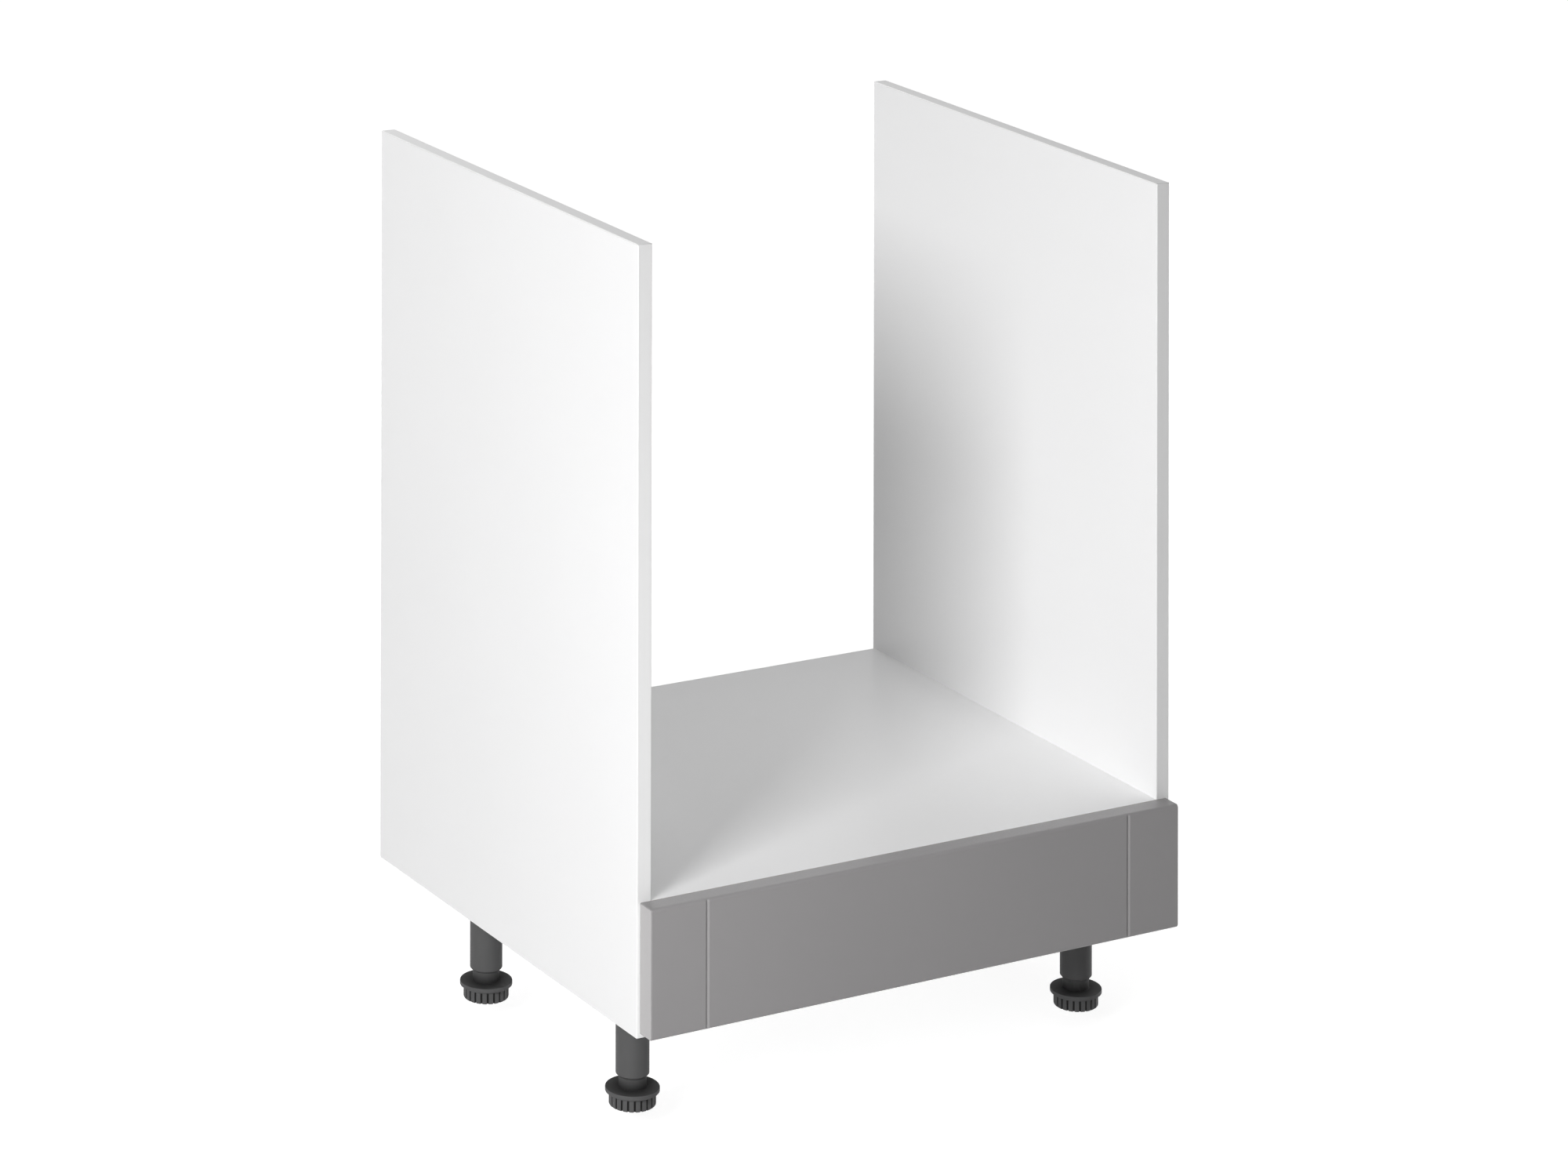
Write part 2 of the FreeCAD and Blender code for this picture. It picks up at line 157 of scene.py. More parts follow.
class FittingSettings(PropertyGroup):
    """Sizes of the angle brackets and screws."""
    bracket_thickness: length("Bracket thickness", "Thickness of an angle bracket", 0.002)
    bend_round: length("Bend rounding", "Radius inside the bend of a bracket", 0.0015)
    bracket_round: length("Bracket rounding", "Radius on the corners of a bracket's legs", 0.004)
    bracket_ease: length("Bracket ease", "Tiny rounding on the edges of a bracket", 0.0002)
    hole_reach: length("Hole reach", "From the bend of a bracket to the middle of a screw hole", 0.018)
    hole_radius: length("Hole radius", "Radius of the holes that screws pass through", 0.00205)
    screw_radius: length("Screw radius", "Radius of a screw's shank", 0.00175)
    screw_bite: length("Screw bite", "Length of screw in the board", 0.012)
    screw_tip: length("Screw tip", "Length of a screw's point", 0.003)
    screw_neck: length("Screw neck", "Plain length of screw under the head", 0.0005)
    tip_radius: length("Tip radius", "Radius at the end of a screw's point", 0.0002)
    screw_pitch: length("Screw pitch", "Rise of a screw's thread in one turn", 0.0014)
    screw_thread: length("Screw thread", "Depth of a screw's thread", 0.0004)
    head_radius: length("Head radius", "Radius of a screw's head", 0.00325)
    head_height: length("Head height", "Height of a screw's head", 0.0022)
    head_under: length("Head underside", "Radius on the lower edge of a screw's head", 0.0003)
    head_dome: length("Head dome", "Radius on the upper edge of a screw's head", 0.0014)
    head_flat: length("Head flat", "Radius of the ring that closes a screw's head", 0.0004)
    cross_length: length("Cross length", "Length of the crossed slot in a screw's head", 0.0036)
    cross_width: length("Cross width", "Width of the crossed slot in a screw's head", 0.0009)
    cross_depth: length("Cross depth", "Depth of the crossed slot in a screw's head", 0.0012)
    socket_circle: length("Socket circle", "Radius of the circle of screws in a leg socket", 0.025)


class ColourSettings(PropertyGroup):
    """Colours of the finishes."""
    film: shade("White film", "Melamine film of the boards", (0.865, 0.865, 0.867))
    strip: shade("White strip", "Edging strips", (0.855, 0.855, 0.855))
    chip_pale: shade("Pale chip", "Palest flakes of bare chipboard", (0.56, 0.42, 0.27))
    chip_dark: shade("Dark chip", "Darkest flakes of bare chipboard", (0.25, 0.155, 0.08))
    front: shade("Grey front", "Foil on the front", (0.312, 0.304, 0.307))
    # Painted light: a paler grey for the front's two ends, standing in for the main lamp's light falling on
    # them.
    front_end_painted_light: shade("Front ends", "Paler band on the two ends of the front", (0.455, 0.446, 0.448))
    plastic: shade("Dark plastic", "Moulded plastic of the legs", (0.094, 0.094, 0.095))
    zinc: shade("Cast zinc", "Cam locks", (0.56, 0.57, 0.58))
    steel: shade("Plated steel", "Brackets, bolts and screws", (0.72, 0.73, 0.74))
    beech: shade("Beech", "Dowels", (0.60, 0.42, 0.26))
    floor: shade("Floor", "Studio floor, as it throws light back", (0.8, 0.8, 0.8))
    floor_shadow: shade("Floor shadow", "Studio floor, as it shows shadows", (0.34, 0.34, 0.34))


class StageSettings(PropertyGroup):
    """Camera, lamps and floor."""
    camera_place: FloatVectorProperty(
        name="Camera place", description="Where the camera stands", subtype="XYZ_LENGTH",
        default=(-2.60262, -4.12803, 1.9352))
    camera_across: FloatVectorProperty(
        name="Camera across", description="Run of the picture's rows", subtype="XYZ",
        default=(0.844555, -0.534271, 0.035794))
    camera_up: FloatVectorProperty(
        name="Camera up", description="Run of the picture's columns", subtype="XYZ",
        default=(-0.004221, -0.003582, 0.999985))
    camera_ahead: FloatVectorProperty(
        name="Camera ahead", description="Where the camera looks", subtype="XYZ",
        default=(0.509985, 0.806094, -0.300213))
    camera_lens: FloatProperty(
        name="Lens", description="Focal length on a 36 mm sensor", subtype="DISTANCE_CAMERA",
        default=119.7145)
    ambient: FloatProperty(
        name="Ambient", description="Strength of the light from all round, which rises towards the back",
        default=0.097, min=0)
    main_lamp: power("Main lamp", "Soft lamp high on the left, towards the front", 180)
    front_lamp: power("Front lamp", "Small soft lamp close to the left end of the front", 1.8)
    back_lamp: power("Back lamp", "Large soft lamp high behind the cabinet", 19.8)
    right_lamp: power("Right lamp", "Low soft lamp that lights the right side", 20)
    floor_size: length("Floor size", "Length of the floor's sides", 60.0)
    floor_drop: length("Floor drop", "How far down the floor lies, to clear feet wound right out", 0.0202)
    glow_near: length("Glow near", "Where the floor's glow begins to rise to white", 0.8)
    glow_far: length("Glow far", "Where the floor's glow is white", 2.2)
    floor_glow: FloatProperty(
        name="Floor glow", description="Light that the camera sees the floor give at the cabinet",
        default=0.86)


class Value:
    """A shader socket that takes part in sums written as Python expressions."""

    def __init__(self, nodes, socket):
        self.nodes = nodes
        self.socket = socket

    def joined(self, operation, first, second):
        return self.nodes.add("Math", {0: first, 1: second}, operation=operation)

    def __add__(self, other):
        return self.joined("ADD", self, other)

    def __radd__(self, other):
        return self.joined("ADD", other, self)

    def __sub__(self, other):
        return self.joined("SUBTRACT", self, other)

    def __rsub__(self, other):
        return self.joined("SUBTRACT", other, self)

    def __mul__(self, other):
        return self.joined("MULTIPLY", self, other)

    def __rmul__(self, other):
        return self.joined("MULTIPLY", other, self)

    def __truediv__(self, other):
        return self.joined("DIVIDE", self, other)

    def __rtruediv__(self, other):
        return self.joined("DIVIDE", other, self)

    def __lt__(self, other):
        return self.joined("LESS_THAN", self, other)

    def __gt__(self, other):
        return self.joined("GREATER_THAN", self, other)

    def __abs__(self):
        return self.nodes.add("Math", {0: self}, operation="ABSOLUTE")


class Nodes:
    """The nodes of one material or world, and the one way to add to them."""

    def __init__(self, tree):
        self.tree = tree
        tree.nodes.clear()

    def add(self, kind, sockets=None, output=0, **settings):
        """Add a node with its settings, then its values and links, and return one of its outputs."""
        made = self.tree.nodes.new("ShaderNode" + kind)
        for name, setting in settings.items():
            setattr(made, name, setting)
        for key, given in (sockets or {}).items():
            if isinstance(given, Value):
                self.tree.links.new(given.socket, made.inputs[key])
            else:
                made.inputs[key].default_value = given
        return Value(self, made.outputs[output]) if made.outputs else None

    def place(self):
        return self.add("TexCoord", output="Object")

    def noise(self, place, scale, detail=2.0, roughness=0.5):
        sockets = {"Vector": place, "Scale": scale, "Detail": detail, "Roughness": roughness}
        return self.add("TexNoise", sockets)

    def flakes(self, place, scale):
        """A random number for each cell."""
        cells = self.add("TexVoronoi", {"Vector": place, "Scale": scale}, output="Color")
        return self.add("SeparateXYZ", {0: cells})

    def stretched(self, place, scale):
        return self.add("Mapping", {"Vector": place, "Scale": scale})

    def part(self, vector, axis):
        return self.add("SeparateXYZ", {0: vector}, output=axis)

    def ramp(self, number, low, high):
        """Run from 0 to 1 between two values of a number."""
        sockets = {0: number, 1: low, 2: high, 3: 0.0, 4: 1.0}
        return self.add("MapRange", sockets, interpolation_type="SMOOTHSTEP")

    def blend(self, share, first, second):
        """Mix two colours."""
        first = (*first, 1) if not isinstance(first, Value) else first
        second = (*second, 1) if not isinstance(second, Value) else second
        return self.add("Mix", {0: share, 6: first, 7: second}, output=2, data_type="RGBA")

    def relief(self, height):
        return self.add("Bump", {"Height": height, "Distance": GRAIN_DEPTH, "Strength": 1.0})

    def seen(self):
        """1 for rays from the camera and for those that metal and glass show it."""
        camera, glossy, through = [
            self.add("LightPath", output=f"Is {kind} Ray") for kind in ("Camera", "Glossy", "Transmission")]
        return camera + glossy + through

    def tint(self, share, colour, low, high):
        """Vary a colour between a darker and a lighter one."""
        return self.blend(share, scaled(colour, low), scaled(colour, high))

    def principled(self, sockets):
        self.add("OutputMaterial", {"Surface": self.add("BsdfPrincipled", sockets)})


def scaled(colour, amount):
    """A colour made lighter or darker."""
    return tuple(min(1.0, channel * amount) for channel in colour)


def new_finish(name):
    """Start a material with no nodes but its coordinates, and fetch the colours."""
    material = bpy.data.materials.new(name)
    material.use_nodes = True
    nodes = Nodes(material.node_tree)
    return material, nodes, nodes.place(), bpy.context.scene.cabinet_colours


def melamine_finish(name, axis, middle, half):
    """White film on a board's faces, and bare chipboard on the edges that have no strip.

    The board's thickness runs along an axis, half of it to each side of a middle plane.
    """
    material, nodes, place, colours = new_finish(name)
    facing = nodes.part(nodes.add("TexCoord", output="Normal"), axis)
    bare = abs(facing) < 0.5

    cloud = nodes.noise(place, 5.0)
    film = nodes.tint(cloud, colours.film, 0.988, 1.012)
    pearl = nodes.noise(place, 850.0, 3.0)

    out = abs(abs(nodes.part(place, axis)) - middle) / half
    skin = nodes.ramp(out, 0.45, 0.7)
    coarse = nodes.flakes(place, 420.0)
    fine = nodes.flakes(place, 1300.0)
    flake = coarse + (fine * 0.6 + 0.3 - coarse) * skin
    chip = nodes.blend(flake, colours.chip_dark, colours.chip_pale)

    tone = nodes.blend(bare, film, chip)
    gloss = 0.36 + 0.06 * pearl + bare * 0.42
    height = pearl * 0.10 + bare * flake * 1.5
    nodes.principled({
        "Base Color": tone,
        "Roughness": gloss,
        "Normal": nodes.relief(height),
        "Specular IOR Level": 0.42,
    })
    return material


def strip_finish():
    """White edging strip with faint streaks along its length."""
    material, nodes, place, colours = new_finish("white_edging_strip")
    streak = nodes.noise(nodes.stretched(place, (1600.0, 12.0, 12.0)), 1.0, 3.0)
    grain = nodes.noise(place, 1500.0)
    nodes.principled({
        "Base Color": nodes.tint(streak, colours.strip, 0.975, 1.02),
        "Roughness": 0.28 + 0.10 * streak,
        "Normal": nodes.relief(streak * 0.08 + grain * 0.04),
        "Specular IOR Level": 0.27,
    })
    return material


def front_finish():
    """Grey satin foil on the face and edges of the front, and white film on its back, with painted light: a
    paler grey on the two ends, standing in for the main lamp's light on them.
    """
    material, nodes, place, colours = new_finish("grey_satin_foil")
    facing = nodes.add("TexCoord", output="Normal")
    back = nodes.part(facing, 1) > 0.9
    end = abs(nodes.part(facing, 0)) > 0.9
    cloud = nodes.noise(place, 7.0)
    peel = nodes.noise(place, 420.0, 2.0)
    dust = nodes.noise(place, 2600.0)
    foil = nodes.tint(cloud * 0.7 + dust * 0.3, colours.front, 0.97, 1.03)
    # Painted light: the two end faces take a paler grey that stands in for the main lamp's light on them.
    foil = nodes.blend(end, foil, colours.front_end_painted_light)
    nodes.principled({
        "Base Color": nodes.blend(back, foil, colours.film),
        "Roughness": 0.24 + 0.05 * dust + back * 0.14,
        "Normal": nodes.relief(peel * 0.12 + dust * 0.03),
        "Specular IOR Level": 0.25,
    })
    return material


def plastic_finish():
    """Dark moulded plastic with a fine grain, with painted shade: darker and duller where a piece is
    marked, in its slots and on its flange top towards the stem, where shadow falls.
    """
    material, nodes, place, colours = new_finish("dark_moulded_plastic")
    grain = nodes.noise(place, 2400.0, 3.0, 0.6)
    flow = nodes.noise(nodes.stretched(place, (60.0, 60.0, 18.0)), 1.0)
    recess = nodes.add("Attribute", output="Fac", attribute_name="recess")
    tone = nodes.tint(flow, colours.plastic, 0.88, 1.12)
    nodes.principled({
        # Painted shade: marked places take a much darker colour that stands in for the shadow in the slots
        # and under the tube.
        "Base Color": nodes.blend(recess, tone, scaled(colours.plastic, 0.2)),
        "Roughness": 0.46 + 0.12 * grain + 0.2 * recess,
        "Normal": nodes.relief(grain * 0.35 + flow * 0.2),
        "Specular IOR Level": 0.12,
    })
    return material


def zinc_finish():
    """Dull cast zinc."""
    material, nodes, place, colours = new_finish("cast_zinc")
    skin = nodes.noise(place, 900.0, 4.0, 0.6)
    nodes.principled({
        "Base Color": nodes.tint(skin, colours.zinc, 0.82, 1.12),
        "Metallic": 1.0,
        "Roughness": 0.34 + 0.2 * skin,
        "Normal": nodes.relief(skin * 0.5),
    })
    return material


def steel_finish():
    """Bright plated steel with faint rolling lines."""
    material, nodes, place, colours = new_finish("plated_bright_steel")
    patch = nodes.noise(place, 160.0, 3.0)
    lines = nodes.noise(nodes.stretched(place, (300.0, 300.0, 2600.0)), 1.0)
    nodes.principled({
        "Base Color": nodes.tint(patch, colours.steel, 0.9, 1.06),
        "Metallic": 1.0,
        "Roughness": 0.2 + 0.14 * patch,
        "Normal": nodes.relief(lines * 0.1),
    })
    return material


def beech_finish():
    """Beech with its grain along the dowels."""
    material, nodes, place, colours = new_finish("beech_wood")
    grain = nodes.noise(nodes.stretched(place, (60.0, 1400.0, 1400.0)), 1.0, 4.0, 0.6)
    nodes.principled({
        "Base Color": nodes.tint(grain, colours.beech, 0.72, 1.15),
        "Roughness": 0.5 + 0.15 * grain,
        "Normal": nodes.relief(grain * 0.6),
    })
    return material


def floor_finish():
    """Plain floor that the camera sees as white, with the cabinet's shadow on it."""
    material, nodes, place, colours = new_finish("pale_floor")
    stage = bpy.context.scene.cabinet_stage
    near = stage.floor_glow
    away = nodes.add("VectorMath", {0: place}, output="Value", operation="LENGTH")
    glow = near + (1 - near) * nodes.ramp(away, stage.glow_near, stage.glow_far)
    plain = nodes.add("BsdfDiffuse", {"Color": (*colours.floor, 1)})
    shaded = nodes.add("BsdfDiffuse", {"Color": (*colours.floor_shadow, 1)})
    white = nodes.add("Emission", {"Color": (1, 1, 1, 1), "Strength": glow})
    lifted = nodes.add("AddShader", {0: shaded, 1: white})
    surface = nodes.add("MixShader", {0: nodes.seen(), 1: plain, 2: lifted})
    nodes.add("OutputMaterial", {"Surface": surface})
    return material


def select_only(piece):
    bpy.ops.object.select_all(action="DESELECT")
    piece.select_set(True)
    bpy.context.view_layer.objects.active = piece


def named(piece, name):
    piece.name = name
    piece.data.name = name
    return piece


def added(name, primitive, **settings):
    """Add a primitive to be shaped further, with its place in its mesh."""
    bpy.ops.object.select_all(action="DESELECT")
    primitive(**settings)
    bpy.ops.object.transform_apply(location=True, rotation=True, scale=True)
    return named(bpy.context.object, name)


def block(name, low, high):
    """Add a rectangular block between two corners."""
    return added(
        name, bpy.ops.mesh.primitive_cube_add, size=1, location=(low + high) / 2, scale=high - low)


def edit(piece):
    select_only(piece)
    bpy.ops.object.mode_set(mode="EDIT")


def leave_edit():
    bpy.ops.object.mode_set(mode="OBJECT")


def pick(piece, kind, test):
    """In edit mode, select the vertices, edges or faces that pass a test."""
    bpy.ops.mesh.select_mode(type=kind)
    bpy.ops.mesh.select_all(action="DESELECT")
    mesh = bmesh.from_edit_mesh(piece.data)
    parts = {"VERT": mesh.verts, "EDGE": mesh.edges, "FACE": mesh.faces}[kind]
    found = [part for part in parts if test(part)]
    if not found:
        raise RuntimeError(f"{piece.name}: no {kind} passes its test")
    for part in found:
        part.select_set(True)
    bmesh.update_edit_mesh(piece.data)


def bevel(radius, steps, **settings):
    """In edit mode, round the selected edges."""
    bpy.ops.mesh.bevel(offset=radius, segments=steps, affect="EDGES", **settings)


def turn_quarters(count, around):
    """In edit mode, turn a whole piece by quarter turns about an upright axis."""
    bpy.ops.mesh.select_all(action="SELECT")
    bpy.ops.transform.rotate(value=count * TURN / 4, orient_axis="Z", center_override=around)


def apply_modifier(piece, kind, **settings):
    select_only(piece)
    bpy.ops.object.modifier_add(type=kind)
    modifier = piece.modifiers[-1]
    for name, setting in settings.items():
        setattr(modifier, name, setting)
    bpy.ops.object.modifier_apply(modifier=modifier.name)


def combine(piece, other, operation):
    """Weld another piece to a piece or cut it away."""
    apply_modifier(piece, "BOOLEAN", operation=operation, solver="EXACT", object=other)
    bpy.data.objects.remove(other)


def drill(piece, point, direction, radius):
    """Cut a round hole through a piece at a point."""
    bit = added(
        "bit", bpy.ops.mesh.primitive_cylinder_add, vertices=SCREW_POINTS, radius=radius,
        depth=DRILL_LENGTH, location=point, rotation=direction.to_track_quat("Z", "Y").to_euler())
    combine(piece, bit, "DIFFERENCE")


def ease_edges(piece, width):
    """Round every sharp edge of a piece a little."""
    apply_modifier(
        piece, "BEVEL", width=width, segments=2, limit_method="ANGLE", angle_limit=math.radians(30))


def smooth(piece, degrees=35):
    """Shade curved faces smooth and keep flat ones flat."""
    select_only(piece)
    bpy.ops.object.shade_smooth_by_angle(angle=math.radians(degrees))
    apply_modifier(piece, "WEIGHTED_NORMAL", keep_sharp=True)


def copied(piece, name, shift):
    """Copy a piece with its own mesh, moved by a shift."""
    select_only(piece)
    bpy.ops.object.duplicate(linked=False)
    copy = named(bpy.context.object, name)
    bpy.ops.transform.translate(value=shift)
    bpy.ops.object.transform_apply(location=True, rotation=False, scale=False)
    return copy


def rounded(corners, steps=4):
    """Turn corners of (radius, height, rounding) into an outline whose rounded corners are arcs."""
    points = [Vector(corner[:2]) for corner in corners]
    outline = []
    for index, (point, corner) in enumerate(zip(points, corners)):
        if corner[2] == 0:
            outline.append(tuple(point))
            continue
        before = (points[index - 1] - point).normalized()
        after = (points[index + 1] - point).normalized()
        half_angle = before.angle(after) / 2
        centre = point + (before + after).normalized() * corner[2] / math.sin(half_angle)
        start = point + before * corner[2] / math.tan(half_angle) - centre
        end = point + after * corner[2] / math.tan(half_angle) - centre
        sweep = math.atan2(start.cross(end), start.dot(end))
        for step in range(steps + 1):
            arm = Matrix.Rotation(sweep * step / steps, 2) @ start
            outline.append(tuple(centre + arm))
    return outline


def even_angles(count):
    return [TURN * index / count for index in range(count)]


def turned(name, centre, outline, angles):
    """Raise a ring along an outline of (radius, height) points into a closed round piece."""
    radius, height = outline[0]
    piece = added(
        name, bpy.ops.mesh.primitive_circle_add, vertices=len(angles), radius=radius,
        location=(centre.x, centre.y, height))
    for vertex, angle in zip(piece.data.vertices, angles):
        vertex.co.x = centre.x + radius * math.cos(angle)
        vertex.co.y = centre.y + radius * math.sin(angle)
    edit(piece)
    bpy.ops.mesh.select_mode(type="EDGE")
    bpy.ops.mesh.select_all(action="SELECT")
    for next_radius, next_height in outline[1:]:
        bpy.ops.mesh.extrude_edges_move(TRANSFORM_OT_translate={"value": (0, 0, next_height - height)})
        ratio = next_radius / radius
        bpy.ops.transform.resize(value=(ratio, ratio, 1), center_override=(centre.x, centre.y, next_height))
        radius, height = next_radius, next_height
    bpy.ops.mesh.edge_face_add()
    bpy.ops.mesh.select_all(action="DESELECT")
    bpy.ops.mesh.select_non_manifold()
    bpy.ops.mesh.edge_face_add()
    bpy.ops.mesh.select_all(action="SELECT")
    bpy.ops.mesh.normals_make_consistent(inside=False)
    leave_edit()
    return piece


def thread_rings(radius, low, high, pitch):
    """Rings that a thread is wound on."""
    step = pitch / THREAD_STEPS
    count = int((high - low) / step)
    return [(radius, low + index * step, 0) for index in range(count + 1)]


def wind_thread(piece, centre, low, high, pitch, depth):
    """Sink a rounded thread into a round piece between two heights, fading out at both ends."""
    for vertex in piece.data.vertices:
        if not low < vertex.co.z < high:
            continue
        arm = vertex.co - centre
        turn = math.atan2(arm.y, arm.x) / TURN
        wave = 0.5 - 0.5 * math.cos(TURN * (vertex.co.z / pitch - turn))
        fade = min(1, (vertex.co.z - low) / pitch, (high - vertex.co.z) / pitch)
        ratio = 1 - depth * wave * fade / math.hypot(arm.x, arm.y)
        vertex.co.x = centre.x + arm.x * ratio
        vertex.co.y = centre.y + arm.y * ratio


def dress(piece, material, slot, body, *nodes):
    """Give a new piece its finish, the body it rides on and the CAD nodes that it stands for."""
    piece.data.materials.clear()
    piece.data.materials.append(material)
    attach(piece, body)
    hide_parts(*nodes)


def refinish(node_name, material):
    """Give a CAD node that stays a better material."""
    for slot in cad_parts[node_name].material_slots:
        slot.material = material


def middle_of(node_name):
    low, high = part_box(node_name)
    return (low + high) / 2


def set_on_legs(piece, part, suffix, body):
    """Copy the first leg's piece to the other legs, and dress all four.

    The name of the body that a piece rides on may hold the name of its leg.
    """
    finish = plastic_finish()
    first, *others = [(f"{leg}_leg_{part}", body.format(leg=leg)) for leg in LEGS]
    for node, rides_on in others:
        shift = middle_of(node) - middle_of(first[0])
        dress(copied(piece, node + suffix, shift), finish, "leg_plastic", rides_on, node)
    dress(named(piece, first[0] + suffix), finish, "leg_plastic", first[1], first[0])


def socket_screw_points(node_name, radius, height):
    """The four points under a leg socket's plate where its screws enter."""
    centre = middle_of(node_name)
    for quarter in range(4):
        angle = (quarter + 0.5) * TURN / 4
        yield Vector((centre.x + radius * math.cos(angle), centre.y + radius * math.sin(angle), height))


class CABINET_OT_side_boards(Operator):
    """Model the two white side boards"""
    bl_idname = "cabinet.side_boards"
    bl_label = "Side boards"

    def execute(self, context):
        sizes = context.scene.cabinet_boards
        low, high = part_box("right_side_panel")
        finish = melamine_finish("white_side_board", 0, (low.x + high.x) / 2, (high.x - low.x) / 2)
        for side in SIDES:
            node = f"{side}_side_panel"
            board = block(f"{side}_side_board", *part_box(node))
            ease_edges(board, sizes.edge_ease)
            dress(board, finish, "white_board", "carcass", node)
        return {"FINISHED"}


class CABINET_OT_edging_strips(Operator):
    """Model the strips on the front and top edges of the side boards"""
    bl_idname = "cabinet.edging_strips"
    bl_label = "Edging strips"

    def execute(self, context):
        sizes = context.scene.cabinet_boards
        finish = strip_finish()
        for side in SIDES:
            for place, axis, way in (("front", 1, -1), ("top", 2, 1)):
                node = f"{side}_{place}_edging"
                low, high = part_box(node)
                strip = block(f"{side}_{place}_strip", low, high)
                self.round_edges(strip, sizes.strip_round, (low + high) / 2, axis, way, place == "front")
                dress(strip, finish, "white_edging", "carcass", node)
        return {"FINISHED"}

    def round_edges(self, strip, radius, middle, axis, way, ends_too):
        """Round the strip's outer edges, those along the board and perhaps the two across it."""
        edit(strip)
        pick(strip, "EDGE", lambda edge: all(way * (end.co - middle)[axis] > 0 for end in edge.verts)
             and (ends_too or edge.verts[0].co.x == edge.verts[1].co.x))
        bevel(radius, STRIP_STEPS)
        leave_edit()
        smooth(strip, 40)


class CABINET_OT_shelf_boards(Operator):
    """Finish the oven deck and the bottom panel"""
    bl_idname = "cabinet.shelf_boards"
    bl_label = "Shelf boards"

    def execute(self, context):
        for node in ("oven_deck", "bottom_panel"):
            low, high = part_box(node)
            refinish(node, melamine_finish(f"white_{node}", 2, (low.z + high.z) / 2, (high.z - low.z) / 2))
        return {"FINISHED"}


class CABINET_OT_grey_front(Operator):
    """Model the grey front with its rounded face and two upright V-grooves"""
    bl_idname = "cabinet.grey_front"
    bl_label = "Grey front"

    def execute(self, context):
        sizes = context.scene.cabinet_boards
        low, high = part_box("front_panel")
        front = block("grey_front", low, high)
        half = sizes.groove_width / 2
        edit(front)
        pick(front, "EDGE", lambda edge: all(end.co.y < low.y + NEAR for end in edge.verts)
             and edge.verts[0].co.z == edge.verts[1].co.z)
        bevel(sizes.front_round, FRONT_STEPS)
        pick(front, "EDGE", lambda edge: abs(edge.verts[0].co.x) > high.x - NEAR
             and edge.verts[0].co.x == edge.verts[1].co.x
             and any(end.co.y < high.y - NEAR for end in edge.verts))
        bevel(sizes.front_end_round, FRONT_STEPS, clamp_overlap=False)
        for groove_x in (low.x + sizes.groove_inset, high.x - sizes.groove_inset):
            for x in (groove_x - half, groove_x, groove_x + half):
                bpy.ops.mesh.select_all(action="SELECT")
                bpy.ops.mesh.bisect(plane_co=(x, 0, 0), plane_no=(1, 0, 0))
            floor_y = low.y + sizes.groove_depth
            pick(front, "VERT", lambda vertex: abs(vertex.co.x - groove_x) < NEAR and vertex.co.y < floor_y)
            bpy.ops.transform.resize(value=(1, 0, 1), center_override=(groove_x, floor_y, low.z))
        leave_edit()
        ease_edges(front, sizes.groove_ease)
        smooth(front, 12)
        dress(front, front_finish(), "grey_front", "carcass", "front_panel")
        return {"FINISHED"}


class CABINET_OT_leg_sockets(Operator):
    """Model the leg sockets, each a round plate with a cup and gussets"""
    bl_idname = "cabinet.leg_sockets"
    bl_label = "Leg sockets"

    def execute(self, context):
        legs = context.scene.cabinet_legs
        first = f"{LEGS[0]}_leg_socket"
        low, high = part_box(first)
        centre = middle_of(first)
        plate_radius = (high.x - low.x) / 2
        tube_low, tube_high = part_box(f"{LEGS[0]}_leg_tube")
        cup_inner = (tube_high.x - tube_low.x) / 2 + legs.stem_play
        cup_outer = cup_inner + legs.cup_wall
        seat = high.z - legs.plate_thickness
        socket = turned(first, centre, rounded([
            (cup_inner, seat, 0),
            (cup_inner, low.z, legs.cup_lip),
            (cup_outer, low.z, legs.cup_round),
            (cup_outer, seat, legs.cup_root),
            (plate_radius, seat, legs.plate_round),
            (plate_radius, high.z, 0),
        ]), even_angles(TUBE_POINTS))
        half = legs.gusset_thickness / 2
        inner = Vector((cup_outer - legs.gusset_sunk, -half, low.z + legs.gusset_lift))
        outer = Vector((plate_radius - legs.gusset_margin, half, seat + legs.gusset_sunk))
        around = Vector((centre.x, centre.y, 0))
        self.add_gussets(socket, inner + around, outer + around, around)
        fittings = context.scene.cabinet_fittings
        for point in socket_screw_points(first, fittings.socket_circle, seat):
            drill(socket, point, Vector((0, 0, 1)), fittings.hole_radius)
        smooth(socket)
        set_on_legs(socket, "socket", "_cup", "carcass")
        return {"FINISHED"}

    def add_gussets(self, socket, low, high, around):
        """Weld four sloping gussets to the cup and the plate, between the screws."""
        rise = GUSSET_SLOPE * (high.z - low.z)
        for quarter in range(4):
            gusset = block("gusset", low, high)
            edit(gusset)
            pick(gusset, "VERT", lambda vertex: vertex.co.x > high.x - NEAR and vertex.co.z < low.z + NEAR)
            bpy.ops.transform.translate(value=(0, 0, rise))
            turn_quarters(quarter, around)
            leave_edit()
            combine(socket, gusset, "UNION")


class CABINET_OT_leg_tubes(Operator):
    """Model the leg tubes with their tapered lower ends"""
    bl_idname = "cabinet.leg_tubes"
    bl_label = "Leg tubes"

    def execute(self, context):
        legs = context.scene.cabinet_legs
        first = f"{LEGS[0]}_leg_tube"
        low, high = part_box(first)
        centre = middle_of(first)
        radius = (high.x - low.x) / 2
        bore = legs.stem_radius + legs.stem_play
        tube = turned(first, centre, rounded([
            (bore, high.z - legs.tube_cap, 0),
            (bore, low.z, 0),
            (radius - legs.tube_taper_inset, low.z, legs.tube_lip),
            (radius, low.z + legs.tube_taper_height, legs.tube_shoulder),
            (radius, high.z, 0),
        ], 5), even_angles(TUBE_POINTS))
        smooth(tube)
        set_on_legs(tube, "tube", "_shell", "carcass")
        return {"FINISHED"}


